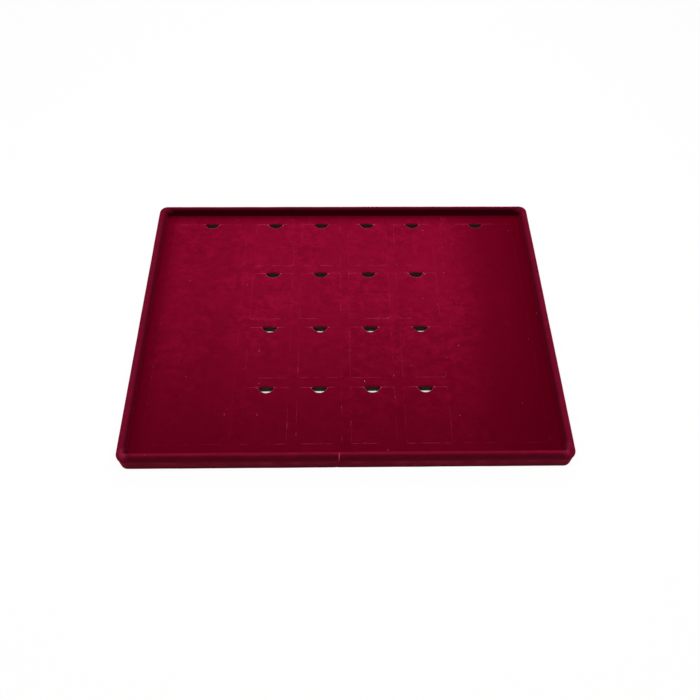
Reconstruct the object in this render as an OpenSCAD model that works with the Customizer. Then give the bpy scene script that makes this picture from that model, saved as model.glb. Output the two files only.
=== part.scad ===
// Coin display tray: a shallow velvet tray whose floor is divided into lift-out pads.
// Units are millimetres. X runs across the tray, Y from front to back and Z up.
// The origin is at the middle of the underside.

/* [Pockets] */
// Number of small pockets across the tray
cols = 4; // [2:1:5]
// Number of rows of small pockets, front to back
rows = 4; // [2:1:4]
// Width of a small pocket
cell_w = 60; // [40:1:90]
// Length of a small pocket, front to back
cell_l = 85; // [60:1:120]
// Web between small pockets side by side
col_web = 12; // [6:1:25]
// Web between one row and the next
row_web = 15; // [6:1:30]
// Width of each tall side pocket
side_w = 113; // [50:1:160]
// Web between the small pockets and a side pocket
side_web = 14; // [6:1:30]
// Margin between a side pocket and the rim
side_margin = 16; // [6:1:40]
// Margin between the pockets and the front rim
front_margin = 15.5; // [6:0.5:40]
// Margin between the pockets and the back rim
back_margin = 18.5; // [6:0.5:40]
// Corner radius of a pocket
pocket_r = 3; // [1:0.5:8]

/* [Pads] */
// Gap between a pad and its pocket wall
pad_gap = 0.3; // [0.2:0.05:0.8]
// Radius of the thumb notch
notch_r = 11.5; // [8:0.5:16]
// Distance from the pocket's rear wall back to the notch centre
notch_set_back = 2.5; // [0:0.5:5]

/* [Layers] */
// Thickness of the foam sheet
foam_t = 10; // [5:0.5:15]
// Thickness of the velvet, pile included
velvet_t = 1; // [0.6:0.1:1.4]
// Thickness of the base board
board_t = 4.5; // [1.5:0.5:6]
// Thickness of the felt lining
lining_t = 0.5; // [0.4:0.1:1.2]
// Gap between the foam sheet and the rim velvet
sheet_gap = 0.2; // [0.1:0.05:0.4]

/* [Rim] */
// Width of the rim at its bead, over the velvet
rim_w = 11.5; // [11.5:0.5:24]
// Height of the rim above the velvet floor
rim_rise = 12; // [9:0.5:20]
// Radius of the bead's two top edges
top_r = 5.5; // [3:0.5:5.5]
// Drop from the rim's top to the lower end of the bead's upright face
bead_drop = 7; // [6.5:0.5:9]
// How far the bead overhangs the lower wall
overhang = 0.5; // [0.5:0.5:3]
// Radius of the bead's lower edge
bead_low_r = 4; // [2.5:0.5:5]
// Radius of the cove under the bead
cove_r = 4; // [2:0.5:5]
// Inner corner radius of the rim in plan
rim_in_r = 0.5; // [0.5:0.5:6]

/* [Velvet strip] */
// Width of velvet turned in under the board
turn_in = 16; // [8:1:40]
// Radius of the fold at the foot of the wall
fold_r = 2; // [1.5:0.25:3]
// Width of the seam where the strip's ends meet
seam_gap = 0.3; // [0.2:0.05:1]
// Distance of the seam from the middle of the front
seam_x = -9.5; // [-60:0.5:60]
// Lean of the seam down the wall, in degrees from upright
seam_lean = 8; // [-20:1:20]
// Distance from the foot of the wall to the lining's edge
lining_set_in = 5; // [3:0.5:7]

/* [Hidden] */
$fn = 96;
arc_steps = 8;

// Plan of the floor
grid_w = cols * cell_w + (cols - 1) * col_web;
grid_l = rows * cell_l + (rows - 1) * row_web;
floor_w = grid_w + 2 * (side_web + side_w + side_margin);
floor_l = front_margin + grid_l + back_margin;
grid_y = (front_margin - back_margin) / 2;
side_x = grid_w / 2 + side_web + side_w / 2;

// Heights of the layers
fold_z = lining_t;
board_z = fold_z + velvet_t;
board_top = board_z + board_t;
foam_top = board_top + foam_t;
floor_z = foam_top + velvet_t;
rim_top = floor_z + rim_rise;
bead_z = rim_top - bead_drop;

// Plan of the rim: its corner centres, and the lower wall from the inner face and from a corner centre
corner_x = floor_w / 2 - rim_in_r;
corner_y = floor_l / 2 - rim_in_r;
wall_w = rim_w - overhang;
wall_r = rim_in_r + wall_w;

// Flat lap beyond the fold, a cutter's overrun, and the size of the cut that parts the strip's ends
fold_lap = 1;
over = 1;
seam_cut = 2 * (rim_w + turn_in);
seam_drop = rim_top / cos(seam_lean) + over;

// The S-curve from the bead's lower edge into the cove
ogee_a = acos(1 - overhang / (bead_low_r + cove_r));
ogee_z = bead_z - (bead_low_r + cove_r) * sin(ogee_a);

// Each pocket: name, centre x, centre y, width, length. Row 1 is at the back.
NAME = 0;
PX = 1;
PY = 2;
PW = 3;
PL = 4;
function col_x(c) = (c - (cols + 1) / 2) * (cell_w + col_web);
function row_y(r) = grid_y + ((rows + 1) / 2 - r) * (cell_l + row_web);
SMALL = [for (r = [1:rows], c = [1:cols]) [str("r", r, "c", c), col_x(c), row_y(r), cell_w, cell_l]];
SIDES = [["left", -side_x, grid_y, side_w, grid_l], ["right", side_x, grid_y, side_w, grid_l]];
POCKETS = concat(SMALL, SIDES);

FIXED = ["base_board", "bottom_lining", "rail_front", "rail_back", "rail_left", "rail_right",
         "rim_velvet", "foam_grid", "floor_velvet"];
FOAMS = [for (p = POCKETS) str("pad_foam_", p[NAME])];
FACINGS = [for (p = POCKETS) str("pad_velvet_", p[NAME])];

velvet_colour = "#6e0a24";
foam_colour = "#1d1c1d";
wood_colour = "#c8a67c";
board_colour = "#f1eee8";
felt_colour = "#2a2426";

// A rectangle with round corners, centred
module round_rect(w, l, r) {
    square([w - 2 * r, l], center = true);
    square([w, l - 2 * r], center = true);
    for (x = [-1, 1], y = [-1, 1])
        translate([x * (w / 2 - r), y * (l / 2 - r)])
            circle(r);
}

// A flat plate between two heights
module plate(w, l, r, z0, z1) {
    translate([0, 0, z0])
        linear_extrude(z1 - z0)
            round_rect(w, l, r);
}

// The floor's outline grown by d, with corners concentric with the rim's inner corners
module floor_plate(d, z0, z1) {
    plate(floor_w + 2 * d, floor_l + 2 * d, rim_in_r + d, z0, z1);
}

// Points of an arc about a centre, from one angle to another
function arc(x, y, r, a0, a1) =
    [for (i = [0:arc_steps]) let (a = a0 + (a1 - a0) * i / arc_steps) [x + r * cos(a), y + r * sin(a)]];

function reverse(list) = [for (i = [len(list) - 1:-1:0]) list[i]];

// Outline of the rim over its bead and down to the plain wall, set in from the velvet's surface.
// x is the distance from the inner corner's centre and y is the height.
function bead_path(inset) =
    let (
        x0 = rim_in_r + inset,
        x1 = rim_in_r + rim_w - inset,
        top_edge = top_r - inset,
        low_edge = bead_low_r - inset,
        cove = cove_r + inset,
        shoulder = rim_top - top_r,
        s_curve = arc(wall_r - inset + cove, ogee_z, cove, 180 - ogee_a, 180)
    )
    concat(
        arc(x0 + top_edge, shoulder, top_edge, 180, 90),
        arc(x1 - top_edge, shoulder, top_edge, 90, 0),
        arc(x1 - low_edge, bead_z, low_edge, 0, -ogee_a),
        [for (i = [1:arc_steps]) s_curve[i]]
    );

// Section of a rail, bare of its velvet
module rail_section() {
    foot_in = [rim_in_r + velvet_t, board_top];
    foot_out = [wall_r - velvet_t, board_top];
    polygon(concat([foot_in], bead_path(velvet_t), [foot_out]));
}

// Section of the velvet over a rail, down the wall, round the fold and a lap's width under the board
module strip_section() {
    lap_x = wall_r - fold_r - fold_lap;
    fold = arc(wall_r - fold_r, fold_z + fold_r, fold_r, 0, -90);
    under = [[lap_x, fold_z], [lap_x, board_z], [wall_r - velvet_t, board_z]];
    face = concat([[rim_in_r, board_top]], bead_path(0), fold, under);
    back = concat([[rim_in_r + velvet_t, board_top]], bead_path(velvet_t));
    polygon(concat(face, reverse(back)));
}

// A straight run of the rim that faces +X: half its length, and how far out its corner centres lie
module rim_run(half_run, out) {
    translate([out, half_run, 0])
        rotate([90, 0, 0])
            linear_extrude(2 * half_run)
                children();
}

// A bend of the rim about the corner centre at the run's far end
module rim_bend(half_run, out, sweep) {
    translate([out, half_run, 0])
        rotate_extrude(angle = sweep)
            children();
}

// One side of the rim, mitred in the middle of its two corners
module rim_side(half_run, out) {
    rim_run(half_run, out)
        children();
    rim_bend(half_run, out, 45)
        children();
    mirror([0, 1, 0])
        rim_bend(half_run, out, 45)
            children();
}

module long_rail() {
    color(wood_colour)
        rim_side(corner_x, corner_y)
            rail_section();
}

module short_rail() {
    color(wood_colour)
        rim_side(corner_y, corner_x)
            rail_section();
}

module rail_front() {
    rotate(-90)
        long_rail();
}

module rail_back() {
    rotate(90)
        long_rail();
}

module rail_left() {
    rotate(180)
        short_rail();
}

module rail_right() {
    short_rail();
}

// The board that carries the rails and the foam
module base_board() {
    color(board_colour)
        floor_plate(wall_w - velvet_t, board_z, board_top);
}

// Felt glued over the turned-in velvet and pressed up against the board inside it
module bottom_lining() {
    step = wall_w - turn_in - sheet_gap;
    recess = step - lining_t;
    color(felt_colour)
        difference() {
            union() {
                floor_plate(wall_w - lining_set_in, 0, lining_t);
                plate(floor_w + 2 * step, floor_l + 2 * step, rim_in_r, 0, board_z);
            }
            plate(floor_w + 2 * recess, floor_l + 2 * recess, rim_in_r, -over, board_z - lining_t);
        }
}

// One strip of velvet over all four rails, its ends butted at the front
module rim_velvet() {
    color(velvet_colour)
        difference() {
            union() {
                for (a = [0, 180])
                    rotate(a)
                        half_strip();
                turned_in_velvet();
            }
            translate([seam_x, -floor_l / 2 - rim_w / 2, rim_top])
                rotate([0, seam_lean, 0])
                    translate([-seam_gap / 2, -seam_cut / 2, -seam_drop])
                        cube([seam_gap, seam_cut, seam_drop + over]);
        }
}

// Half of the way round: a short run, a corner, a long run and a corner
module half_strip() {
    rim_run(corner_y, corner_x)
        strip_section();
    rim_bend(corner_y, corner_x, 90)
        strip_section();
    rotate(90) {
        rim_run(corner_x, corner_y)
            strip_section();
        rim_bend(corner_x, corner_y, 90)
            strip_section();
    }
}

// The flat ring of velvet under the board
module turned_in_velvet() {
    inner = wall_w - turn_in;
    difference() {
        floor_plate(wall_w - fold_r - fold_lap / 2, fold_z, board_z);
        plate(floor_w + 2 * inner, floor_l + 2 * inner, rim_in_r, fold_z - over, board_z + over);
    }
}

// Outline of a pocket, drawn in by a gap
module pocket(p, gap) {
    translate([p[PX], p[PY]])
        round_rect(p[PW] - 2 * gap, p[PL] - 2 * gap, pocket_r - gap);
}

// Outline of a pad: its pocket less the gap and the thumb notch
module pad_outline(p) {
    difference() {
        pocket(p, pad_gap);
        translate([p[PX], p[PY] + p[PL] / 2 + notch_set_back])
            circle(notch_r);
    }
}

// A layer of the floor, with its pockets cut through
module floor_layer(z0, z1) {
    translate([0, 0, z0])
        linear_extrude(z1 - z0)
            difference() {
                round_rect(floor_w - 2 * sheet_gap, floor_l - 2 * sheet_gap, rim_in_r - sheet_gap);
                for (p = POCKETS)
                    pocket(p, 0);
            }
}

module foam_grid() {
    color(foam_colour)
        floor_layer(board_top, foam_top);
}

module floor_velvet() {
    color(velvet_colour)
        floor_layer(foam_top, floor_z);
}

module pad_foam(p) {
    color(foam_colour)
        translate([0, 0, board_top])
            linear_extrude(foam_t)
                pad_outline(p);
}

module pad_velvet(p) {
    color(velvet_colour)
        translate([0, 0, foam_top])
            linear_extrude(velvet_t)
                pad_outline(p);
}

base_board();
bottom_lining();
rail_front();
rail_back();
rail_left();
rail_right();
rim_velvet();
foam_grid();
floor_velvet();
for (p = POCKETS) {
    pad_foam(p);
    pad_velvet(p);
}
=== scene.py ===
"""Coin display tray in burgundy velvet: the looks of its pieces, its stage and its camera.

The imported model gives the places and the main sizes. The velvet, the foam and the felt are modelled
here in place of their plain solids. The board and the rails keep their solids and get a finish.
"""

import math
import random

import bmesh
import bpy
from bpy.props import FloatProperty, FloatVectorProperty, IntProperty, PointerProperty
from mathutils import Matrix, Vector


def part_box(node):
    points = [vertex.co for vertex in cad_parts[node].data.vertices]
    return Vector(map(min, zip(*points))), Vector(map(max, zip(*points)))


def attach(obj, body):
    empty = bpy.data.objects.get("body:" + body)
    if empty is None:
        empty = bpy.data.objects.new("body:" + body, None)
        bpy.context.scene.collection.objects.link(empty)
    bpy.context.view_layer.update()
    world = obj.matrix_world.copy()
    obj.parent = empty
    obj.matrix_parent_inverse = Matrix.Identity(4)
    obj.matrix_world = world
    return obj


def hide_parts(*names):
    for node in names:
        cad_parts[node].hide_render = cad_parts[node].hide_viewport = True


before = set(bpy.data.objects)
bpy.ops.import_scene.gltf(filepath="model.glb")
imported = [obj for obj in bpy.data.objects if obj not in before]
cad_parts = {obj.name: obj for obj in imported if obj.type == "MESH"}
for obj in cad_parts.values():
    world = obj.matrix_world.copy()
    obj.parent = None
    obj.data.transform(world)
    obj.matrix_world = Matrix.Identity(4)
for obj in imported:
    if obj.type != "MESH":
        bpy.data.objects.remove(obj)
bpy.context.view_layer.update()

bl_info = {
    "name": "Coin display tray",
    "version": (1, 0, 0),
    "blender": (4, 5, 0),
    "location": "3D View > Sidebar > Coin Tray",
    "description": "Makes a velvet coin tray with lift-out pads, and the stage it is shown on",
    "category": "Add Mesh",
}

MM = 0.001
TRAY = "tray"
FACING = "pad_velvet_"
CORE = "pad_foam_"
PADS = sorted(name.removeprefix(FACING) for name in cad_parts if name.startswith(FACING))
SIDE_PADS = ("left", "right")
RAILS = ("rail_front", "rail_back", "rail_left", "rail_right")
FLOOR_LOW, FLOOR_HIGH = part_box("floor_velvet")
FOAM_LOW, FOAM_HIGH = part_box("foam_grid")
RIM_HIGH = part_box("rim_velvet")[1]
BOARD_LOW, BOARD_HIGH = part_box("base_board")
FELT_LOW, FELT_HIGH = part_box("bottom_lining")
CUT_EDGE = "cut_edge"
PAINTED_LIGHT = "rubbed"
FUZZ = "fuzz"
LINT = "lint"
CORNER_STEPS = 6
REAR_CORNER_END = 2 * (CORNER_STEPS + 1)
NOTCH_STEPS = 24
CUT_STEPS = 3
BEAD_STEPS = 8
BEND_STEPS = 6
RIM_CORNER_STEPS = 16


def linear(hex_colour):
    """An sRGB hex colour as linear red, green and blue."""
    channels = [int(hex_colour[i:i + 2], 16) / 255 for i in (1, 3, 5)]
    return [c / 12.92 if c <= 0.04045 else ((c + 0.055) / 1.055) ** 2.4 for c in channels]


def length(name, text, default_mm):
    """A length property, written in millimetres."""
    return FloatProperty(name=name, description=text, default=default_mm * MM, precision=5,
                         subtype="DISTANCE", unit="LENGTH")


def angle(name, text, default_degrees):
    """An angle property, written in degrees."""
    return FloatProperty(name=name, description=text, default=math.radians(default_degrees),
                         subtype="ANGLE", unit="ROTATION")


def colour(name, text, hex_colour):
    """A colour property, written as an sRGB hex value."""
    return FloatVectorProperty(name=name, description=text, default=linear(hex_colour), size=3,
                               min=0.0, max=1.0, subtype="COLOR")


class PadSizes(bpy.types.PropertyGroup):
    """Sizes of the lift-out pads and of the pockets that hold them."""

    pocket_r: length("Pocket corner", "Corner radius of a pocket in plan", 3)
    gap: length("Pad gap", "Gap between a pad and its pocket wall", 0.3)
    notch_r: length("Notch radius", "Radius of the thumb notch", 11.5)
    notch_back: length("Notch set-back", "Distance of the notch centre behind the pocket's rear wall", 2.5)
    edge_r: length("Cut edge", "Radius to which the pile rounds a cut edge", 0.12)
    edge_band: length("Worn band", "Width of the worn pile beside a cut edge", 0.35)
    # Width over which the painted shade over a notch fades out; it sets a ring in each velvet layer.
    shade_band: length("Pressed band", "Width of the pile that fingers press down over a notch", 2)
    notch_worn: length("Notch wear", "How far fingers have worn the floor's edge back over a notch", 0.6)
    lean: length("Pile lean", "How far the pile leans out over the gap on either side", 0.145)
    seat: length("Seating", "Most that a pad sits proud of its neighbours", 0.25)
    seed: IntProperty(name="Seed", description="Seed of how the pads sit", default=7)


class RimSizes(bpy.types.PropertyGroup):
    """Sizes of the velvet strip that wraps the rim."""

    inner_r: length("Inner corner", "Inner corner radius of the rim in plan", 0.5)
    sheet_gap: length("Sheet gap", "Gap between the floor and the rim velvet", 0.2)
    velvet_t: length("Velvet", "Thickness of the velvet, pile included", 1)
    top_r: length("Top edges", "Radius of the bead's two top edges", 5.5)
    bead_drop: length("Bead drop", "From the top to the lower end of the bead's upright face", 7)
    overhang: length("Overhang", "How far the bead overhangs the lower wall", 0.5)
    bead_low_r: length("Bead's lower edge", "Radius of the bead's lower edge", 4)
    cove_r: length("Cove", "Radius of the cove under the bead", 4)
    fold_r: length("Fold", "Radius of the fold at the foot of the wall", 2)
    turn_in: length("Turn-in", "Width of velvet turned in under the board", 11)
    seam_x: length("Seam place", "Distance of the seam's top from the middle of the front", -9.5)
    seam_lean: angle("Seam lean", "Lean of the seam from the upright, its foot to the left", 8)
    seam_gap: length("Seam gap", "Width of the seam where the pile of the two ends meets", 0.05)
    seam_dip: length("Seam dip", "How far the strip's ends sink at the seam", 0.35)
    wander: length("Wander", "Most that the stretched velvet wanders from a true surface", 0.3)
    wander_size: length("Wander size", "Size of one such swell", 45)


class VelvetLook(bpy.types.PropertyGroup):
    """Colours of the velvet and sizes of its stray fibres."""

    # The floor is mixed from the lying to the upright colour; painted shade along the walls and over the
    # notches pulls it to the lying colour.
    lying: colour("Lying pile", "Pile that lies smooth on the floor and the pads", "#36000a")
    upright: colour("Upright pile", "Pile that hands have brushed upright", "#7e0b2b")
    sheen: colour("Sheen", "Light caught by the sides of the fibres", "#ff044c")
    # The rim is mixed from its shaded to its lit colour by painted light and shade: dark on the walls and
    # inner side, lighter on top, under the bead, over the outer halves of the sides and the far halves of
    # the front and back.
    rim_shaded: colour("Rim's lying pile", "Pile that lies smooth on the rim", "#1a0003")
    rim_lit: colour("Rim's upright pile", "Pile of the rim where hands rub it", "#7e0d2e")
    rim_sheen: colour("Rim sheen", "Light caught by the rim's fibres, which are worn paler", "#ff1a55")
    # This pale colour is partly wear and partly painted: highlight on cut edges that face the light, and a
    # reflection of the white floor under the rim's bead.
    cut: colour("Cut edge", "Pile worn pale beside a cut", "#c04466")
    fibre: colour("Fibre", "Loose fibres at a cut edge", "#e68ca0")
    lint: colour("Lint", "Lint on the velvet", "#f7dfe0")
    fibre_length: length("Fibre length", "Longest fibre that stands out of a cut edge", 1.5)
    fibre_spacing: length("Fibre spacing", "Distance between fibres along a cut edge", 0.7)
    lint_length: length("Lint length", "Longest piece of lint on the velvet", 2.2)
    seed: IntProperty(name="Seed", description="Seed of the stray fibres", default=11)


class StageLook(bpy.types.PropertyGroup):
    """Camera, light and floor of the stage."""

    camera_at: FloatVectorProperty(name="Camera place", description="Where the camera stands", size=3,
                                   default=(-0.01069, -0.60406, 0.85308), subtype="XYZ", unit="LENGTH")
    tilt: angle("Tilt", "Angle at which the camera looks down", 56.4)
    turn: angle("Turn", "Turn of the camera about the upright", -1.753)
    roll: angle("Roll", "Roll of the camera about its line of sight", 1.163)
    lens_mm: FloatProperty(name="Lens", description="Focal length on a 36 mm sensor", default=36.754)
    paper: colour("Paper", "Colour of the floor", "#f4f3f2")
    key: FloatProperty(name="Key", description="Power of the soft boxes together", default=36.0,
                       unit="POWER")
    fill: FloatProperty(name="Fill", description="Strength of the room's even light", default=0.1)


class TraySettings(bpy.types.PropertyGroup):
    """All settings of the tray."""

    pads: PointerProperty(type=PadSizes)
    rim: PointerProperty(type=RimSizes)
    velvet: PointerProperty(type=VelvetLook)
    stage: PointerProperty(type=StageLook)


def settings():
    """The tray's settings, kept on the scene."""
    return bpy.context.scene.coin_tray


def add(tree, kind, inputs=None, **options):
    """Adds a node to a tree, sets its options, and sets or links its inputs by name or number.

    A node that is given as an input stands for its first output.
    """
    node = tree.nodes.new(kind)
    for option, value in options.items():
        setattr(node, option, value)
    for socket, value in (inputs or {}).items():
        if isinstance(value, bpy.types.Node):
            value = value.outputs[0]
        if isinstance(value, bpy.types.NodeSocket):
            tree.links.new(value, node.inputs[socket])
        else:
            node.inputs[socket].default_value = value
    return node


def material(name):
    """A new material, its tree, its shader and the piece's own coordinates."""
    made = bpy.data.materials.new(name)
    made.use_nodes = True
    tree = made.node_tree
    place = add(tree, "ShaderNodeTexCoord").outputs["Object"]
    return made, tree, tree.nodes["Principled BSDF"], place


def set_shader(shader, **values):
    """Sets constants on a shader's sockets; underscores stand for the spaces in their names."""
    for name, value in values.items():
        shader.inputs[name.replace("_", " ")].default_value = value


def per_metre(size_mm):
    """Pattern scale at which one feature has this size."""
    return 1000 / size_mm


def banded(tree, bands):
    """Product of smooth steps, each of a place between two others in mm, from one level to another."""
    product = None
    for place, start, end, low, high in bands:
        step = add(tree, "ShaderNodeMapRange", {
            "Value": place, "From Min": start * MM, "From Max": end * MM, "To Min": low, "To Max": high},
            interpolation_type="SMOOTHSTEP")
        if product:
            step = add(tree, "ShaderNodeMath", {0: product, 1: step}, operation="MULTIPLY")
        product = step
    return product


def floor_pile_and_shade(tree, place, patches):
    """How light the floor's pile is, as a factor between its lying and its upright colour.

    It is lighter in the middle and at the back and darker towards the front and at the right, and hands
    have brushed it upright in patches here and there. Along the left, right and back walls it is darker:
    painted shade. Fine creases run through it beside the right-hand column.
    """
    spot = add(tree, "ShaderNodeSeparateXYZ", {0: place})
    across, back = spot.outputs["X"], spot.outputs["Y"]
    # Bands of the factor: those along the left, right and back walls are painted shade, the rest make the
    # middle and the back lighter.
    brushed = banded(tree, [
        (back, -240, 100, 0.22, 0.95),  # from the front to the back rows
        (across, -200, -130, 0.8, 1.0),  # off the left pad
        (across, 135, 230, 1.0, 0.3),  # over the right pad
        (across, 225, 281, 1.0, 0.0),  # to the right wall
        (across, -281, -250, 0.2, 1.0),  # from the left wall
        (back, 185, 209.5, 1.0, 0.3),  # to the back wall
    ])
    uneven = add(tree, "ShaderNodeMapRange", {
        "Value": patches, "From Min": 0.42, "From Max": 0.69, "To Min": 0.62, "To Max": 1.36})
    where = add(tree, "ShaderNodeTexNoise", {"Vector": place, "Scale": per_metre(55), "Detail": 2.0})
    ruffled = add(tree, "ShaderNodeMapRange", {
        "Value": where, "From Min": 0.4, "From Max": 0.6, "To Min": 0.3})
    mottle = add(tree, "ShaderNodeMix", {"Factor": ruffled, 2: 0.8, 3: uneven})
    tone_factor = add(tree, "ShaderNodeMath", {0: brushed, 1: mottle}, operation="MULTIPLY")
    curls = add(tree, "ShaderNodeTexNoise", {
        "Vector": place, "Scale": per_metre(17), "Detail": 2.0, "Distortion": 0.8})
    crease = add(tree, "ShaderNodeMath", {0: curls, 1: 0.5, 2: 0.012}, operation="COMPARE")
    beside = banded(tree, [
        (across, 100, 140, 0.0, 0.4), (across, 170, 200, 1.0, 0.0), (back, -30, 30, 0.0, 1.0)])
    creases = add(tree, "ShaderNodeMath", {0: crease, 1: beside}, operation="MULTIPLY")
    return add(tree, "ShaderNodeMath", {0: tone_factor, 1: creases}, operation="ADD")


def rim_light_and_shade(tree, place, patches):
    """The painted light and shade marked on the rim's strip, made a little uneven."""
    rubbed = add(tree, "ShaderNodeAttribute", attribute_name=PAINTED_LIGHT)
    uneven = add(tree, "ShaderNodeMapRange", {
        "Value": patches, "From Min": 0.3, "From Max": 0.7, "To Min": 0.55, "To Max": 0.85})
    return add(tree, "ShaderNodeMath", {0: rubbed.outputs["Fac"], 1: uneven}, operation="MULTIPLY")


def cut_velvet(name, lying, upright, sheen, weight, roughness, gloss, nap):
    """Cotton velvet with a cut pile: dark where one looks down into it, bright along the fibres' sides.

    Where hands have brushed the pile upright it is lighter, in small uneven patches. Its tone also carries
    painted light and shade: shade painted along the floor's walls, over a notch and on the rim's walls,
    and light painted on the rim's top and under its bead. Cut edges show pale fibres in broken runs,
    partly painted highlight. The pile's own tufts are finer than a picture element and are drawn at about
    1.5 mm, as coarse as they need to show.
    """
    made, tree, shader, place = material(name)

    # The pile, in patches that are drawn out a little across the tray.
    drawn = add(tree, "ShaderNodeMapping", {"Vector": place, "Scale": (0.85, 1.15, 1.0)})
    patches = add(tree, "ShaderNodeTexNoise", {
        "Vector": drawn, "Scale": per_metre(12), "Detail": 6.0, "Roughness": 0.73})
    tufts = add(tree, "ShaderNodeTexNoise", {"Vector": place, "Scale": per_metre(1.5), "Detail": 2.0})
    edge = add(tree, "ShaderNodeAttribute", attribute_name=CUT_EDGE).outputs["Fac"]
    # Painted shade: a mark below 0 darkens the floor over a notch.
    pressed = add(tree, "ShaderNodeMapRange", {
        "Value": edge, "From Min": -1.0, "From Max": 0.0, "To Min": 0.1})
    tone_factor = add(tree, "ShaderNodeMath", {0: nap(tree, place, patches), 1: pressed}, operation="MULTIPLY")
    pile = add(tree, "ShaderNodeMix", {
        "Factor": tone_factor, 6: (*lying, 1), 7: (*upright, 1)}, data_type="RGBA")

    # Pale marks: worn edges in broken runs along a cut, and without a break where the mark is above 1. The
    # same marks paint highlight on cut edges that face the light and a reflection of the white floor under
    # the rim's bead.
    breaks = add(tree, "ShaderNodeTexNoise", {"Vector": place, "Scale": per_metre(18), "Detail": 3.0})
    shown = add(tree, "ShaderNodeMapRange", {"Value": breaks, "From Min": 0.44, "From Max": 0.62})
    always = add(tree, "ShaderNodeMapRange", {"Value": edge, "From Min": 1.0, "From Max": 2.0})
    broken = add(tree, "ShaderNodeMath", {0: edge, 1: shown}, operation="MULTIPLY")
    pale = add(tree, "ShaderNodeMath", {0: broken, 1: always}, operation="MAXIMUM", use_clamp=True)
    worn = add(tree, "ShaderNodeMix", {
        "Factor": pale, 6: pile.outputs[2], 7: (*settings().velvet.cut, 1)}, data_type="RGBA")

    # Relief: the lean of the patches, and the tufts on it.
    lean = add(tree, "ShaderNodeBump", {"Strength": 0.3, "Distance": 1 * MM, "Height": patches})
    grain = add(tree, "ShaderNodeBump", {
        "Strength": 0.3, "Distance": 0.3 * MM, "Height": tufts, "Normal": lean})
    tree.links.new(worn.outputs[2], shader.inputs["Base Color"])
    tree.links.new(grain.outputs["Normal"], shader.inputs["Normal"])
    set_shader(shader, Roughness=0.8, Specular_IOR_Level=gloss, Sheen_Weight=weight,
               Sheen_Roughness=roughness, Sheen_Tint=(*sheen, 1))
    return made


def loose_fibre(name):
    """Cut cotton fibres, some still red with dye, and paler lint that lies on the velvet."""
    made, tree, shader, place = material(name)
    look = settings().velvet
    fade = add(tree, "ShaderNodeTexNoise", {"Vector": place, "Scale": per_metre(4)})
    frayed = add(tree, "ShaderNodeAttribute", attribute_name=FUZZ)
    faded = add(tree, "ShaderNodeMath", {0: fade, 1: frayed.outputs["Fac"]}, operation="MAXIMUM")
    fringe = add(tree, "ShaderNodeMix", {
        "Factor": faded, 6: (*linear("#8c1434"), 1), 7: (*look.fibre, 1)}, data_type="RGBA")
    stray = add(tree, "ShaderNodeAttribute", attribute_name=LINT)
    tone = add(tree, "ShaderNodeMix", {
        "Factor": stray.outputs["Fac"], 6: fringe.outputs[2], 7: (*look.lint, 1)}, data_type="RGBA")
    tree.links.new(tone.outputs[2], shader.inputs["Base Color"])
    set_shader(shader, Roughness=0.9, Specular_IOR_Level=0.1)
    return made


def two_toned(tree, shader, pattern, dark, light, strength, depth):
    """Shades a surface from dark to light along a pattern, and raises it along the same pattern."""
    tone = add(tree, "ShaderNodeMix", {
        "Factor": pattern, 6: (*linear(dark), 1), 7: (*linear(light), 1)}, data_type="RGBA")
    relief = add(tree, "ShaderNodeBump", {"Strength": strength, "Distance": depth, "Height": pattern})
    tree.links.new(tone.outputs[2], shader.inputs["Base Color"])
    tree.links.new(relief.outputs["Normal"], shader.inputs["Normal"])


def die_cut_foam(name):
    """Closed-cell polyethylene foam, die cut: black, with small open cells and hardly any gloss."""
    made, tree, shader, place = material(name)
    cells = add(tree, "ShaderNodeTexVoronoi", {"Vector": place, "Scale": per_metre(0.9)})
    two_toned(tree, shader, cells, "#20131a", "#362428", strength=0.6, depth=0.25 * MM)
    set_shader(shader, Roughness=0.7, IOR=1.5, Specular_IOR_Level=0.12)
    return made


def white_faced_board(name):
    """Hardboard with a white paper face: nearly white, with a faint mottle of fibres."""
    made, tree, shader, place = material(name)
    mottle = add(tree, "ShaderNodeTexNoise", {"Vector": place, "Scale": per_metre(3), "Detail": 5.0})
    two_toned(tree, shader, mottle, "#f2f1ee", "#fbfaf8", strength=0.3, depth=0.1 * MM)
    set_shader(shader, Roughness=0.7, Specular_IOR_Level=0.3)
    return made


def planed_pine(name):
    """Planed pine moulding: pale yellow-brown with fine grain."""
    made, tree, shader, place = material(name)
    stretched = add(tree, "ShaderNodeMapping", {"Vector": place, "Scale": (0.05, 0.05, 1.0)})
    grain = add(tree, "ShaderNodeTexNoise", {
        "Vector": stretched, "Scale": per_metre(1.5), "Detail": 6.0, "Distortion": 0.6})
    two_toned(tree, shader, grain, "#a87c4d", "#d9b98c", strength=0.3, depth=0.1 * MM)
    set_shader(shader, Roughness=0.6)
    return made


def pressed_felt(name):
    """Pressed wool felt: near black, with matted fibres and a dusty edge light."""
    made, tree, shader, place = material(name)
    mat = add(tree, "ShaderNodeTexNoise", {
        "Vector": place, "Scale": per_metre(2), "Detail": 6.0, "Roughness": 0.7, "Distortion": 1.5})
    two_toned(tree, shader, mat, "#1d1a1c", "#3a3437", strength=0.7, depth=0.3 * MM)
    set_shader(shader, Roughness=1.0, Specular_IOR_Level=0.05, Sheen_Weight=0.3, Sheen_Roughness=0.5)
    return made


def smooth(value, start, end):
    """0 up to start and 1 from end on, with a smooth step between them."""
    share = min(max((value - start) / (end - start), 0.0), 1.0)
    return share * share * (3 - 2 * share)


def arc(centre, radius, start, end, steps):
    """Points of an arc about a centre, between two angles in degrees, both ends included."""
    angles = [math.radians(start + (end - start) * i / steps) for i in range(steps + 1)]
    return [(centre[0] + radius * math.cos(a), centre[1] + radius * math.sin(a)) for a in angles]


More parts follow.
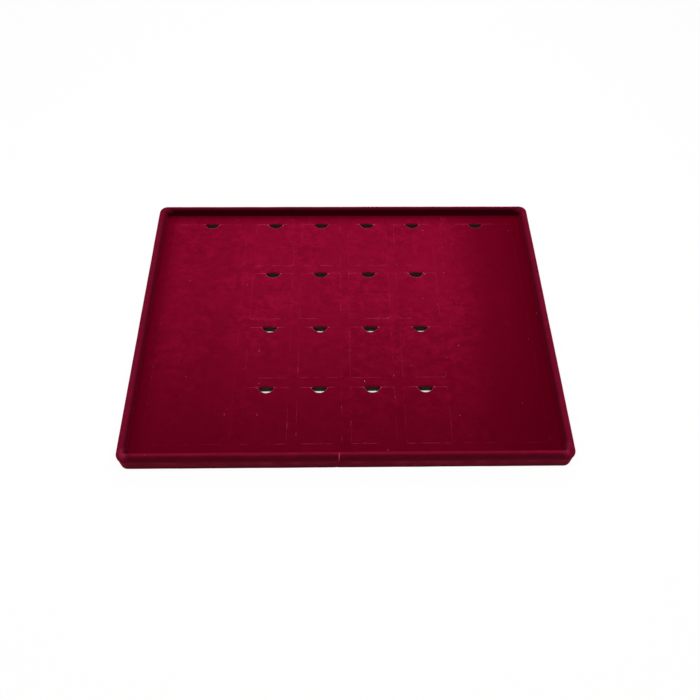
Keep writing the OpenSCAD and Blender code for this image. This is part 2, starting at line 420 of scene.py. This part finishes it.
def round_rect(low, high, radius, inset):
    """Outline of a rectangle with round corners, drawn in by inset, anticlockwise."""
    least = 0.5 * MM
    r = max(radius - inset, least)
    x0, y0 = low[0] + inset + r, low[1] + inset + r
    x1, y1 = high[0] - inset - r, high[1] - inset - r
    corners = (((x1, y0), -90), ((x1, y1), 0), ((x0, y1), 90), ((x0, y0), 180))
    return [p for centre, a in corners for p in arc(centre, r, a, a + 90, CORNER_STEPS)]


def pad_outline(pad, inset):
    """Outline of a pad with its thumb notch in the rear edge, drawn in by inset, anticlockwise."""
    size = settings().pads
    low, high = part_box(FACING + pad)
    outline = round_rect(low, high, size.pocket_r - size.gap, inset)
    centre = ((low.x + high.x) / 2, high.y + size.gap + size.notch_back)
    radius = size.notch_r + inset
    dip = math.degrees(math.asin((centre[1] - high.y + inset) / radius))
    notch = arc(centre, radius, -dip, dip - 180, NOTCH_STEPS)
    return outline[:REAR_CORNER_END] + notch + outline[REAR_CORNER_END:]


def velvet_levels(low, high):
    """Insets and heights of a velvet layer: up its cut edge, over it and across the two bands."""
    size = settings().pads
    rounded = arc((size.edge_r, high - size.edge_r), size.edge_r, 180, 90, CUT_STEPS)
    worn = size.edge_r + size.edge_band
    return [(0.0, low)] + rounded + [(worn, high), (worn + size.shade_band, high)]


def add_object(name, mesh):
    """A new object in the scene, at the origin."""
    made = bpy.data.objects.new(name, mesh)
    bpy.context.scene.collection.objects.link(made)
    return made


def edge_wear_and_shading(pad, place):
    """How pale a pad's or its pocket's cut edge is: most round the notch and at the ends.

    The paleness is partly wear and partly painted highlight: the front and rear edges, where the light
    catches them, are marked paler than the sides. Above 1 the pale edge has no break. Below 0 it is
    painted shade on the floor's edge over a notch, deepest in its middle.
    """
    at_notch, at_side, at_pad_rear, at_pocket_front = 2.0, 0.22, 0.85, 1.15
    front, back, front_share, side_pad_share = -150 * MM, 100 * MM, 0.6, 0.4
    end = 2 * MM
    size = settings().pads
    low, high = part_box(FACING + pad)
    half_gap = Vector((size.gap / 2, size.gap / 2, 0))
    inner, outer = low - half_gap, high + half_gap
    on_pad = inner.x < place.x < outer.x and inner.y < place.y < outer.y
    notch = Vector(((low.x + high.x) / 2, high.y + size.gap + size.notch_back, place.z))
    if on_pad and (place - notch).length < size.notch_r + size.edge_r:
        return at_notch
    aside = abs(place.x - notch.x) / size.notch_r
    # Painted shade on the floor's edge over the notch, deepest in its middle.
    if not on_pad and place.y > high.y and aside < 1:
        return aside ** 2 - 1
    # The front and rear edges are marked paler than the sides: partly wear, partly painted highlight where
    # the light catches them.
    share = at_side
    if on_pad and place.y > high.y - end:
        share = at_pad_rear
    elif not on_pad and place.y < low.y + end:
        share = at_pocket_front
    share *= front_share + (1 - front_share) * smooth(place.y, front, back)
    return side_pad_share * share if pad in SIDE_PADS else share


def plate(name, outlines, levels):
    """A closed plate. The first outline bounds it and the others are holes; each takes an inset.

    An outline comes with the pad whose worn cut edge it is, or with None.
    """
    shell = bmesh.new()
    worn = shell.verts.layers.float.new(CUT_EDGE)
    ends = {0: [], len(levels) - 1: []}
    for outline, pad in outlines:
        rings = [[shell.verts.new((x, y, z)) for x, y in outline(inset)] for inset, z in levels]
        around = range(len(rings[0]))
        # Marks for the pale cut edge and for the painted shade over a notch.
        if pad:
            for vert in (v for ring in rings[:-2] for v in ring):
                vert[worn] = edge_wear_and_shading(pad, vert.co)
            # The ring at the end of the worn band keeps only the painted shade.
            for vert in rings[-2]:
                vert[worn] = min(edge_wear_and_shading(pad, vert.co), 0.0)
        for lower, upper in zip(rings, rings[1:]):
            for i in around:
                shell.faces.new((lower[i - 1], lower[i], upper[i], upper[i - 1])).smooth = True
        for level, edges in ends.items():
            edges += [shell.edges.get((rings[level][i - 1], rings[level][i])) for i in around]
    for edges in ends.values():
        bmesh.ops.triangle_fill(shell, use_beauty=True, edges=edges)
    bmesh.ops.recalc_face_normals(shell, faces=shell.faces)
    mesh = bpy.data.meshes.new(name)
    shell.to_mesh(mesh)
    shell.free()
    mesh.set_sharp_from_angle(angle=math.radians(40))
    return add_object(name, mesh)


def line_mesh(name, lines):
    """A mesh of edges along lines, each a list of points and whether it is closed."""
    points, edges = [], []
    for line, closed in lines:
        first = len(points)
        points += line
        edges += [(first + i, first + i + 1) for i in range(len(line) - 1)]
        if closed:
            edges.append((len(points) - 1, first))
    mesh = bpy.data.meshes.new(name)
    mesh.from_pydata(points, edges, [])
    return mesh


def settle(piece, finish, body, slot, *nodes):
    """Gives a piece its finish, the body it rides on and the solids it stands for; the slot is not used.
    """
    piece.data.materials.clear()
    piece.data.materials.append(finish)
    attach(piece, body)
    if nodes:
        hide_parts(*nodes)
    return piece


def geometry_tree(name, inputs):
    """A geometry node tree with named inputs, and its input node's sockets."""
    tree = bpy.data.node_groups.new(name, "GeometryNodeTree")
    tree.interface.new_socket("Geometry", in_out="OUTPUT", socket_type="NodeSocketGeometry")
    tree.interface.new_socket("Geometry", in_out="INPUT", socket_type="NodeSocketGeometry")
    for label, kind in inputs.items():
        tree.interface.new_socket(label, in_out="INPUT", socket_type="NodeSocket" + kind)
    return tree, add(tree, "NodeGroupInput").outputs


def end_tree(tree, shape, finish):
    """Ends a tree with its instances made real and its material set."""
    real = add(tree, "GeometryNodeRealizeInstances", {"Geometry": shape})
    dressed = add(tree, "GeometryNodeSetMaterial", {"Geometry": real, "Material": finish})
    add(tree, "NodeGroupOutput", {"Geometry": dressed})


def run_tree(tree, name, guide, values):
    """Runs a tree on a guide mesh and returns an object that holds the result as a plain mesh."""
    made = add_object(name, guide)
    modifier = made.modifiers.new(tree.name, "NODES")
    modifier.node_group = tree
    for item in tree.interface.items_tree:
        if item.in_out == "INPUT" and item.name in values:
            modifier[item.identifier] = values[item.name]
    depsgraph = bpy.context.evaluated_depsgraph_get()
    mesh = bpy.data.meshes.new_from_object(made.evaluated_get(depsgraph))
    made.modifiers.remove(modifier)
    made.data = mesh
    return made


def floor_outline(inset):
    """The floor's outline inside the rim."""
    rim = settings().rim
    return round_rect(FLOOR_LOW, FLOOR_HIGH, rim.inner_r - rim.sheet_gap, inset)


def pocket_outline(pad, inset, worn=0.0):
    """A pocket's outline; drawing the floor in widens it, and wear sets it back over the notch."""
    size = settings().pads
    low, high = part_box(FACING + pad)
    grown = Vector((size.gap, size.gap, 0))
    outline = round_rect(low - grown, high + grown, size.pocket_r, -inset)
    middle, rear = (low.x + high.x) / 2, high.y + size.gap + inset
    turns = [math.pi * i / NOTCH_STEPS for i in range(NOTCH_STEPS + 1)]
    set_back = [(middle + size.notch_r * math.cos(a), rear + worn * math.sin(a) ** 2) for a in turns]
    return outline[:REAR_CORNER_END] + (set_back if worn else []) + outline[REAR_CORNER_END:]


def bead_path(inset):
    """Outline of the rim over its bead and down into the cove, set in from the velvet's surface.

    Points are the distance out from the inner corner's centre and the height.
    """
    rim = settings().rim
    inner = rim.inner_r + inset
    outer = RIM_HIGH.x - corner_centres()[0] - inset
    wall = outer - rim.overhang
    top_edge, low_edge, cove = rim.top_r - inset, rim.bead_low_r - inset, rim.cove_r + inset
    shoulder = RIM_HIGH.z - rim.top_r
    bead = RIM_HIGH.z - rim.bead_drop
    turn = math.acos(1 - rim.overhang / (low_edge + cove))
    foot = bead - (low_edge + cove) * math.sin(turn)
    swing = math.degrees(turn)
    return (arc((inner + top_edge, shoulder), top_edge, 180, 90, BEAD_STEPS)
            + arc((outer - top_edge, shoulder), top_edge, 90, 0, BEAD_STEPS)
            + arc((outer - low_edge, bead), low_edge, 0, -swing, BEND_STEPS)
            + arc((wall + cove, foot), cove, 180 - swing, 180, BEND_STEPS)[1:])


def strip_section():
    """Section of the velvet strip: its face from the floor to the lap's end, then its back."""
    rim = settings().rim
    face, back = bead_path(0.0), bead_path(rim.velvet_t)
    wall, lap_z = face[-1][0], BOARD_LOW.z - rim.velvet_t
    fold = arc((wall - rim.fold_r, lap_z + rim.fold_r), rim.fold_r, 0, -90, BEND_STEPS)
    lap_end = wall - rim.turn_in
    under = [(lap_end, lap_z), (lap_end, BOARD_LOW.z), (wall - rim.velvet_t, BOARD_LOW.z)]
    inner_foot = (rim.inner_r, BOARD_HIGH.z)
    back_foot = (rim.inner_r + rim.velvet_t, BOARD_HIGH.z)
    return [inner_foot] + face + fold + under + back[::-1] + [back_foot]


def corner_centres():
    """Distances from the middle of the tray to the centres of the rim's corners."""
    rim = settings().rim
    reach = rim.sheet_gap - rim.inner_r
    return FLOOR_HIGH.x + reach, FLOOR_HIGH.y + reach


def spread(start, end, step):
    """Points from start towards end, evenly spaced about a step apart, without the end."""
    count = max(1, round((end - start).length / step))
    return [start.lerp(end, i / count) for i in range(count)]


def seam_shift(height):
    """How far the leaning seam lies to the side of its top, at a height."""
    return (height - RIM_HIGH.z) * math.tan(settings().rim.seam_lean)


def rim_path(radius):
    """Points round the rim, a distance out from its corner centres, from seam to seam, anticlockwise."""
    rim = settings().rim
    x, y = corner_centres()
    near_seam = [0.0, 0.4 * MM, 0.9 * MM, 1.6 * MM, 2.6 * MM, 4 * MM]
    spacing = 6 * MM
    half_gap = rim.seam_gap / 2
    front = -y - radius
    start = [Vector((rim.seam_x + half_gap + d, front)) for d in near_seam]
    end = [Vector((rim.seam_x - half_gap - d, front)) for d in reversed(near_seam)]
    bends = []
    for centre, a in (((x, -y), -90), ((x, y), 0), ((-x, y), 90), ((-x, -y), 180)):
        bends.append([Vector(p) for p in arc(centre, radius, a, a + 90, RIM_CORNER_STEPS)])
    runs = [start] + bends + [end]
    path = []
    for run, following in zip(runs, runs[1:]):
        path += run[:-1] + spread(run[-1], following[0], spacing)
    return path + end


def wrap_tree():
    """Sweeps the strip's section along the rim's path and lets the stretched velvet wander a little."""
    tree, given = geometry_tree("rim_wrap", {
        "Section": "Object", "Wander": "Float", "Wander Scale": "Float", "Material": "Material"})
    path = add(tree, "GeometryNodeMeshToCurve", {"Mesh": given["Geometry"]})
    upright = add(tree, "GeometryNodeSetCurveNormal", {"Curve": path}, mode="Z_UP")
    section = add(tree, "GeometryNodeObjectInfo", {"Object": given["Section"]})
    profile = add(tree, "GeometryNodeMeshToCurve", {"Mesh": section.outputs["Geometry"]})
    swept = add(tree, "GeometryNodeCurveToMesh", {
        "Curve": upright, "Profile Curve": profile, "Fill Caps": True})
    swell = add(tree, "ShaderNodeTexNoise", {"Scale": given["Wander Scale"], "Detail": 1.0})
    centred = add(tree, "ShaderNodeVectorMath", {0: swell.outputs["Color"], 1: (0.5, 0.5, 0.5)},
                  operation="SUBTRACT")
    offset = add(tree, "ShaderNodeVectorMath", {0: centred, "Scale": given["Wander"]}, operation="SCALE")
    wandered = add(tree, "GeometryNodeSetPosition", {"Geometry": swept, "Offset": offset})
    end_tree(tree, wandered, given["Material"])
    return tree


class TRAY_OT_rim(bpy.types.Operator):
    """Wraps the velvet strip over the rails, with its ends butted at the front"""

    bl_idname = "coin_tray.rim"
    bl_label = "Rim velvet"

    def execute(self, context):
        rim = settings().rim
        look = settings().velvet
        middle = rim.inner_r + (RIM_HIGH.x - FLOOR_HIGH.x - rim.sheet_gap) / 2
        girth, course = strip_section(), rim_path(middle)
        # The sweep turns the section's second axis downwards, so heights go in negative.
        points = [(out - middle, -height, 0) for out, height in girth]
        section = add_object("rim_section", line_mesh("rim_section", [(points, True)]))
        path = line_mesh("rim_path", [([p.to_3d() for p in course], False)])
        velvet = cut_velvet("cotton_velvet_rim", look.rim_shaded, look.rim_lit, look.rim_sheen,
                            weight=0.37, roughness=0.5, gloss=0.02, nap=rim_light_and_shade)
        # The noise reaches half a unit to either side, so the wander is doubled.
        strip = run_tree(wrap_tree(), "rim_velvet_wrap", path, {
            "Section": section, "Wander": 2 * rim.wander, "Wander Scale": 1 / rim.wander_size,
            "Material": velvet})
        bpy.data.objects.remove(section)
        self.shape_strip(strip.data)
        settle(strip, velvet, TRAY, "rim_velvet", "rim_velvet")
        # The section runs along both faces, so half its length is the strip's width.
        return {"FINISHED"}

    def rub(self, place, normal):
        """How much light is painted on the rim's pile, from 0, the painted shade of its walls and inner
        side.

        The most is painted on the wall under the bead, as light bounced off the white floor, and on top
        over the outer half of the two sides and the far half of the front and the back, as a painted
        sheen.
        """
        # The top is painted lighter than the walls, which stay in painted shade.
        crown = smooth(normal.z, 0.0, 0.35)
        beside = smooth(abs(place.x), FLOOR_HIGH.x - 10 * MM, FLOOR_HIGH.x)
        outwards = math.copysign(normal.x, normal.x * place.x)
        if not beside:
            outwards = math.copysign(normal.y, normal.y * place.y)
        at_sides = beside * smooth(outwards, -1.4, -0.1)
        at_ends = (1 - beside) * smooth(normal.y, -0.35, 0.22)
        top = max(0.4 * smooth(outwards, -1.0, 0.2), 0.9 * at_sides, at_ends)
        return max(crown * top, 1.4 * self.under_bead(place))

    def under_bead(self, place):
        """1 along the outer wall just under the bead, fading out above and below."""
        past_crest = 7 * MM
        begins, full, fades, ends = 7 * MM, 15 * MM, 16 * MM, 21 * MM
        outside = abs(place.x) > FLOOR_HIGH.x + past_crest or abs(place.y) > FLOOR_HIGH.y + past_crest
        return outside * smooth(place.z, begins, full) * smooth(place.z, ends, fades)

    def rim_paleness(self, place):
        """How pale the pile is painted: a painted reflection of the white floor along the wall under the
        bead, and paler pile at the front corners.
        """
        corner_reach = 14 * MM
        corner = Vector((math.copysign(FLOOR_HIGH.x, place.x), FLOOR_LOW.y, RIM_HIGH.z))
        at_corner = smooth((place - corner).length, corner_reach, 0.0)
        return max(0.45 * self.under_bead(place), 0.2 * at_corner)

    def shape_strip(self, mesh):
        """Turns faces outwards, marks the painted light and shade and the pale pile with its painted
        reflection, and closes the seam.
        """
        rim = settings().rim
        shell = bmesh.new()
        shell.from_mesh(mesh)
        worn = shell.verts.layers.float.new(CUT_EDGE)
        rubbed = shell.verts.layers.float.new(PAINTED_LIGHT)
        bmesh.ops.recalc_face_normals(shell, faces=shell.faces)
        shell.normal_update()
        for face in shell.faces:
            face.smooth = True
        for vert in shell.verts:
            # Painted light and shade; then the pale marks, with the painted reflection under the bead.
            vert[rubbed] = self.rub(vert.co, vert.normal)
            vert[worn] = self.rim_paleness(vert.co)
        reach, sink_reach, worn_reach = 60 * MM, 3 * MM, 0.9 * MM
        for vert in shell.verts:
            away = abs(vert.co.x - rim.seam_x)
            if vert.co.y > 0 or away > reach:
                continue
            # The two ends of the strip are palest at the top.
            at_top = 0.4 + 0.6 * (vert.co.z / RIM_HIGH.z) ** 6
            vert[worn] = max(vert[worn], at_top * (1 - away / worn_reach))
            if away < sink_reach:
                inwards = -Vector((0, vert.normal.y, vert.normal.z)).normalized()
                vert.co += inwards * rim.seam_dip * (1 - away / sink_reach) ** 2
            vert.co.x += seam_shift(vert.co.z) * (1 - away / reach)
        shell.to_mesh(mesh)
        shell.free()
        mesh.set_sharp_from_angle(angle=math.radians(50))


class TRAY_OT_floor(bpy.types.Operator):
    """Cuts the foam grid and lays the floor velvet on it"""

    bl_idname = "coin_tray.floor"
    bl_label = "Floor"

    def execute(self, context):
        size = settings().pads
        look = settings().velvet
        pockets = [(lambda inset, pad=pad: pocket_outline(pad, inset), None) for pad in PADS]
        foam = plate("foam_grid_cut", [(floor_outline, None)] + pockets,
                     [(0, FOAM_LOW.z), (0, FOAM_HIGH.z)])
        settle(foam, die_cut_foam("polyethylene_foam_die_cut"), TRAY, "foam", "foam_grid")
        cuts = [(lambda inset, pad=pad: pocket_outline(pad, inset - size.lean, size.notch_worn), pad)
                for pad in PADS]
        sheet = plate("floor_velvet_sheet", [(floor_outline, None)] + cuts,
                      velvet_levels(FLOOR_LOW.z, FLOOR_HIGH.z))
        velvet = cut_velvet("cotton_velvet_floor", look.lying, look.upright, look.sheen,
                            weight=1.0, roughness=0.6, gloss=0.0, nap=floor_pile_and_shade)
        settle(sheet, velvet, TRAY, "floor_velvet", "floor_velvet")
        # A little less than 0.3 of the sheet is left between the pockets; 0.3 is the least that counts.
        return {"FINISHED"}


class TRAY_OT_pads(bpy.types.Operator):
    """Makes the lift-out pads, each a foam core with a velvet facing"""

    bl_idname = "coin_tray.pads"
    bl_label = "Pads"

    def execute(self, context):
        size = settings().pads
        draw = random.Random(size.seed)
        foam = bpy.data.materials["polyethylene_foam_die_cut"]
        velvet = bpy.data.materials["cotton_velvet_floor"]
        for pad in PADS:
            low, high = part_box(FACING + pad)
            core_low, core_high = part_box(CORE + pad)
            core = plate("core_" + pad, [(lambda inset: pad_outline(pad, inset), None)],
                         [(0, core_low.z), (0, core_high.z)])
            facing = plate("facing_" + pad, [(lambda inset: pad_outline(pad, inset - size.lean), pad)],
                           velvet_levels(low.z, high.z))
            proud = Matrix.Translation((0, 0, draw.uniform(0, size.seat)))
            for piece in (core, facing):
                piece.data.transform(proud)
            settle(core, foam, "pad_" + pad, "foam", CORE + pad)
            settle(facing, velvet, "pad_" + pad, "pad_velvet", FACING + pad)
        return {"FINISHED"}


def strew(tree, given, points, fibre, turns, least, longest):
    """Puts fibres on points, turned between two limits, from a share of the longest length up to it."""
    turn = add(tree, "FunctionNodeRandomValue", {
        0: turns[0], 1: turns[1], "Seed": given["Seed"]}, data_type="FLOAT_VECTOR")
    share = add(tree, "FunctionNodeRandomValue", {2: least, 3: 1.0, "Seed": given["Seed"]})
    size = add(tree, "ShaderNodeMath", {0: share.outputs[1], 1: longest}, operation="MULTIPLY")
    return add(tree, "GeometryNodeInstanceOnPoints", {
        "Points": points, "Instance": fibre, "Rotation": turn, "Scale": size})


def fibre_tree():
    """Stands short fibres along the cut edges in broken runs, and scatters lint on a surface."""
    tree, given = geometry_tree("stray_fibres", {
        "Spacing": "Float", "Fibre Length": "Float", "Bare Share": "Float", "Surface": "Object",
        "Rim": "Object", "Lint Density": "Float", "Lint Length": "Float", "Seed": "Int",
        "Material": "Material"})
    # One fibre of unit length, bent and tapered. Real ones are far thinner; these are drawn to show.
    along = add(tree, "GeometryNodeSplineParameter")
    taper = add(tree, "ShaderNodeMapRange", {"Value": along, "To Min": 1.0, "To Max": 0.3})
    bent = add(tree, "GeometryNodeCurveQuadraticBezier", {
        "Resolution": 3, "Start": (0, 0, 0), "Middle": (0.1, 0, 0.5), "End": (0.45, 0, 0.85)})
    ring = add(tree, "GeometryNodeCurvePrimitiveCircle", {"Resolution": 3, "Radius": 0.06})
    fibre = add(tree, "GeometryNodeCurveToMesh", {"Curve": bent, "Profile Curve": ring, "Scale": taper})

    edges = add(tree, "GeometryNodeMeshToCurve", {"Mesh": given["Geometry"]})
    stands = add(tree, "GeometryNodeCurveToPoints", {
        "Curve": edges, "Length": given["Spacing"]}, mode="LENGTH")
    runs = add(tree, "ShaderNodeTexNoise", {"Scale": per_metre(14), "Detail": 2.0})
    fuzz = add(tree, "GeometryNodeInputNamedAttribute", {"Name": FUZZ}, data_type="FLOAT")
    chance = add(tree, "ShaderNodeMath", {0: runs, 1: fuzz}, operation="ADD")
    fuzzy = add(tree, "FunctionNodeCompare", {0: chance, 1: given["Bare Share"]})
    tilts = ((-1.3, -1.3, 0.0), (1.3, 1.3, 2 * math.pi))
    fringe = strew(tree, given, stands, fibre, tilts, 0.35, given["Fibre Length"])
    tree.links.new(fuzzy.outputs[0], fringe.inputs["Selection"])

    surface = add(tree, "GeometryNodeObjectInfo", {"Object": given["Surface"]})
    rim = add(tree, "GeometryNodeObjectInfo", {"Object": given["Rim"]})
    velvet = add(tree, "GeometryNodeJoinGeometry", {"Geometry": surface.outputs["Geometry"]})
    tree.links.new(rim.outputs["Geometry"], velvet.inputs["Geometry"])
    facing = add(tree, "ShaderNodeSeparateXYZ", {0: add(tree, "GeometryNodeInputNormal")})
    upward = add(tree, "FunctionNodeCompare", {0: facing.outputs["Z"], 1: 0.6})
    specks = add(tree, "GeometryNodeDistributePointsOnFaces", {
        "Mesh": velvet, "Selection": upward, "Density": given["Lint Density"], "Seed": given["Seed"]})
    nearly_flat = ((1.3, 0.0, 0.0), (1.6, 0.3, 2 * math.pi))
    lint = strew(tree, given, specks, fibre, nearly_flat, 0.2, given["Lint Length"])
    marked = add(tree, "GeometryNodeStoreNamedAttribute", {
        "Geometry": lint, "Name": LINT, "Value": 1.0}, data_type="FLOAT", domain="INSTANCE")
    both = add(tree, "GeometryNodeJoinGeometry", {"Geometry": marked})
    tree.links.new(fringe.outputs[0], both.inputs["Geometry"])
    end_tree(tree, both, given["Material"])
    return tree


class TRAY_OT_fibres(bpy.types.Operator):
    """Adds the stray fibres along the cut edges, and the lint on the velvet"""

    bl_idname = "coin_tray.fibres"
    bl_label = "Stray fibres"

    def execute(self, context):
        size = settings().pads
        look = settings().velvet
        tree = fibre_tree()
        finish = loose_fibre("cotton_fibre_cut")
        bare, side_bare, lint_density = 0.64, 0.7, 160.0
        edge, root_depth = size.edge_r / 2, 0.1 * size.edge_r
        top = FLOOR_HIGH.z - root_depth
        edges = [([(x, y, top) for x, y in pocket_outline(pad, edge)], True) for pad in PADS]
        guides = {TRAY: (edges, [], "floor_velvet_sheet", "floor_velvet", bare)}
        for pad in PADS:
            line = [(x, y, top) for x, y in pad_outline(pad, edge)]
            share = side_bare if pad in SIDE_PADS else bare
            corners = self.notch_corners(line)
            guides["pad_" + pad] = ([(line, True)], corners, "facing_" + pad, "pad_velvet", share)
        for number, (body, (edges, corners, surface, slot, share)) in enumerate(guides.items()):
            name = "loose_fibres_" + body
            guide = line_mesh(name, edges + corners)
            plain = sum(len(line) for line, closed in edges)
            marks = [float(i >= plain) for i in range(len(guide.vertices))]
            guide.attributes.new(FUZZ, "FLOAT", "POINT").data.foreach_set("value", marks)
            piece = run_tree(tree, name, guide, {
                "Spacing": look.fibre_spacing, "Fibre Length": look.fibre_length, "Bare Share": share,
                "Surface": bpy.data.objects[surface], "Lint Density": lint_density,
                "Rim": bpy.data.objects["rim_velvet_wrap"] if body == TRAY else None,
                "Lint Length": look.lint_length, "Seed": look.seed + number, "Material": finish})
            settle(piece, finish, body, slot)
        return {"FINISHED"}

    def notch_corners(self, line):
        """Short lines at the two corners of a notch, where the backing frays."""
        first, last = REAR_CORNER_END, REAR_CORNER_END + NOTCH_STEPS
        rows, frayed, apart = 8, 1.4 * MM, 0.25 * MM
        tufts = []
        for corner, out in ((Vector(line[first]), 1), (Vector(line[last]), -1)):
            for row in range(rows):
                start = corner - Vector((0, row * apart, 0))
                tufts.append(([start, start + Vector((out * frayed, 0, 0))], False))
        return tufts


class TRAY_OT_base(bpy.types.Operator):
    """Finishes the board and the rails, and lays the felt under the tray"""

    bl_idname = "coin_tray.base"
    bl_label = "Base"

    def execute(self, context):
        pine = planed_pine("pine_moulding_planed")
        finishes = {rail: pine for rail in RAILS}
        finishes["base_board"] = white_faced_board("hardboard_white_faced")
        for node, finish in finishes.items():
            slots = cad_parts[node].data.materials
            slots.clear()
            slots.append(finish)
        self.lay_felt()
        return {"FINISHED"}

    def lay_felt(self):
        """The felt laps over the turned-in velvet and is pressed up against the board inside it."""
        lap = 11.2 * MM
        ramp = 1.5 * MM
        thick = 0.5 * MM
        corner = 6.5 * MM
        levels = [(lap + thick + ramp, FELT_HIGH.z - thick), (lap + thick, 0.0), (0.0, 0.0),
                  (0.0, thick), (lap, thick), (lap + ramp, FELT_HIGH.z)]
        outline = (lambda inset: round_rect(FELT_LOW, FELT_HIGH, corner, inset), None)
        felt = plate("felt_sheet", [outline], levels)
        settle(felt, pressed_felt("wool_felt_pressed"), TRAY, "felt_lining", "bottom_lining")


class TRAY_OT_stage(bpy.types.Operator):
    """Sets the paper floor, the light and the camera"""

    bl_idname = "coin_tray.stage"
    bl_label = "Stage"

    def execute(self, context):
        scene = context.scene
        scene.view_settings.view_transform = "Standard"
        self.place_camera(scene)
        self.light_room(scene)
        self.lay_paper()
        return {"FINISHED"}

    def place_camera(self, scene):
        """The camera stands in front of the tray, above it, and looks down into it."""
        look = settings().stage
        view = bpy.data.cameras.new("view")
        view.sensor_width = 36.0
        view.lens = look.lens_mm
        camera = bpy.data.objects.new("view", view)
        turn = Matrix.Rotation(look.turn, 4, "Z")
        tip = Matrix.Rotation(math.pi / 2 - look.tilt, 4, "X")
        roll = Matrix.Rotation(look.roll, 4, "Z")
        camera.matrix_world = Matrix.Translation(look.camera_at) @ turn @ tip @ roll
        scene.collection.objects.link(camera)
        scene.camera = camera

    def light_room(self, scene):
        """A wide soft box above and one behind, in a dim room that the camera sees as white."""
        look = settings().stage
        deep = 0.6
        # Each box has its place, its width and its share of the power.
        boxes = {"above": ((0.0, -0.25, 1.6), 2.2, 0.72), "behind": ((0.0, 1.0, 1.3), 1.2, 0.28)}
        for name, (place, wide, share) in boxes.items():
            lamp = bpy.data.lights.new(name, "AREA")
            lamp.shape = "RECTANGLE"
            lamp.size, lamp.size_y = wide, deep
            lamp.energy = look.key * share
            softbox = bpy.data.objects.new(name, lamp)
            softbox.location = place
            softbox.rotation_euler = (-softbox.location).to_track_quat("-Z", "Y").to_euler()
            scene.collection.objects.link(softbox)

        scene.world = bpy.data.worlds.new("room")
        scene.world.use_nodes = True
        tree = scene.world.node_tree
        tree.nodes.clear()
        shown = seen_as_background(tree)
        room = add(tree, "ShaderNodeBackground", {"Color": (1, 1, 1, 1), "Strength": look.fill})
        white = add(tree, "ShaderNodeBackground", {"Color": (1, 1, 1, 1), "Strength": 1.0})
        mixed = add(tree, "ShaderNodeMixShader", {0: shown, 1: room, 2: white})
        add(tree, "ShaderNodeOutputWorld", {"Surface": mixed})

    def lay_paper(self):
        """White paper that keeps a light shadow of the tray."""
        look = settings().stage
        half, below, whiteness = 4.0, -0.1 * MM, 0.95
        mesh = bpy.data.meshes.new("paper_floor")
        mesh.from_pydata([(-half, -half, below), (half, -half, below), (half, half, below),
                          (-half, half, below)], [], [(0, 1, 2, 3)])
        floor = add_object("paper_floor", mesh)
        made = bpy.data.materials.new("paper_matt_white")
        made.use_nodes = True
        tree = made.node_tree
        tree.nodes.clear()
        sheet = add(tree, "ShaderNodeBsdfDiffuse", {"Color": (*look.paper, 1)})
        white = add(tree, "ShaderNodeEmission", {"Color": (1, 1, 1, 1), "Strength": 1.0})
        share = add(tree, "ShaderNodeMath", {0: seen_as_background(tree), 1: whiteness},
                    operation="MULTIPLY")
        mixed = add(tree, "ShaderNodeMixShader", {0: share, 1: sheet, 2: white})
        add(tree, "ShaderNodeOutputMaterial", {"Surface": mixed})
        mesh.materials.append(made)


def seen_as_background(tree):
    """1 for rays that show the background: straight from the camera, mirrored or through glass."""
    path = add(tree, "ShaderNodeLightPath").outputs
    seen = path["Is Camera Ray"]
    for kind in ("Is Glossy Ray", "Is Transmission Ray"):
        seen = add(tree, "ShaderNodeMath", {0: seen, 1: path[kind]}, operation="MAXIMUM")
    return seen


class TRAY_PT_panel(bpy.types.Panel):
    """Lists the tray's pieces and settings"""

    bl_idname = "TRAY_PT_panel"
    bl_label = "Coin display tray"
    bl_space_type = "VIEW_3D"
    bl_region_type = "UI"
    bl_category = "Coin Tray"

    def draw(self, context):
        for step in STEPS:
            self.layout.operator(step.bl_idname)
        for group in (settings().pads, settings().rim, settings().velvet, settings().stage):
            box = self.layout.box()
            for name in group.bl_rna.properties.keys():
                if name not in ("rna_type", "name"):
                    box.prop(group, name)


STEPS = (TRAY_OT_stage, TRAY_OT_base, TRAY_OT_rim, TRAY_OT_floor, TRAY_OT_pads, TRAY_OT_fibres)
CLASSES = (PadSizes, RimSizes, VelvetLook, StageLook, TraySettings, *STEPS, TRAY_PT_panel)


def register():
    """Registers the classes and puts the settings on the scene."""
    for kind in CLASSES:
        bpy.utils.register_class(kind)
    bpy.types.Scene.coin_tray = PointerProperty(type=TraySettings)


def unregister():
    """Takes the settings off the scene again and unregisters the classes."""
    del bpy.types.Scene.coin_tray
    for kind in reversed(CLASSES):
        bpy.utils.unregister_class(kind)


def main():
    """Makes the stage and the tray."""
    register()
    bpy.ops.coin_tray.stage()
    bpy.ops.coin_tray.base()
    bpy.ops.coin_tray.rim()
    bpy.ops.coin_tray.floor()
    bpy.ops.coin_tray.pads()
    bpy.ops.coin_tray.fibres()


if __name__ == "__main__":
    main()
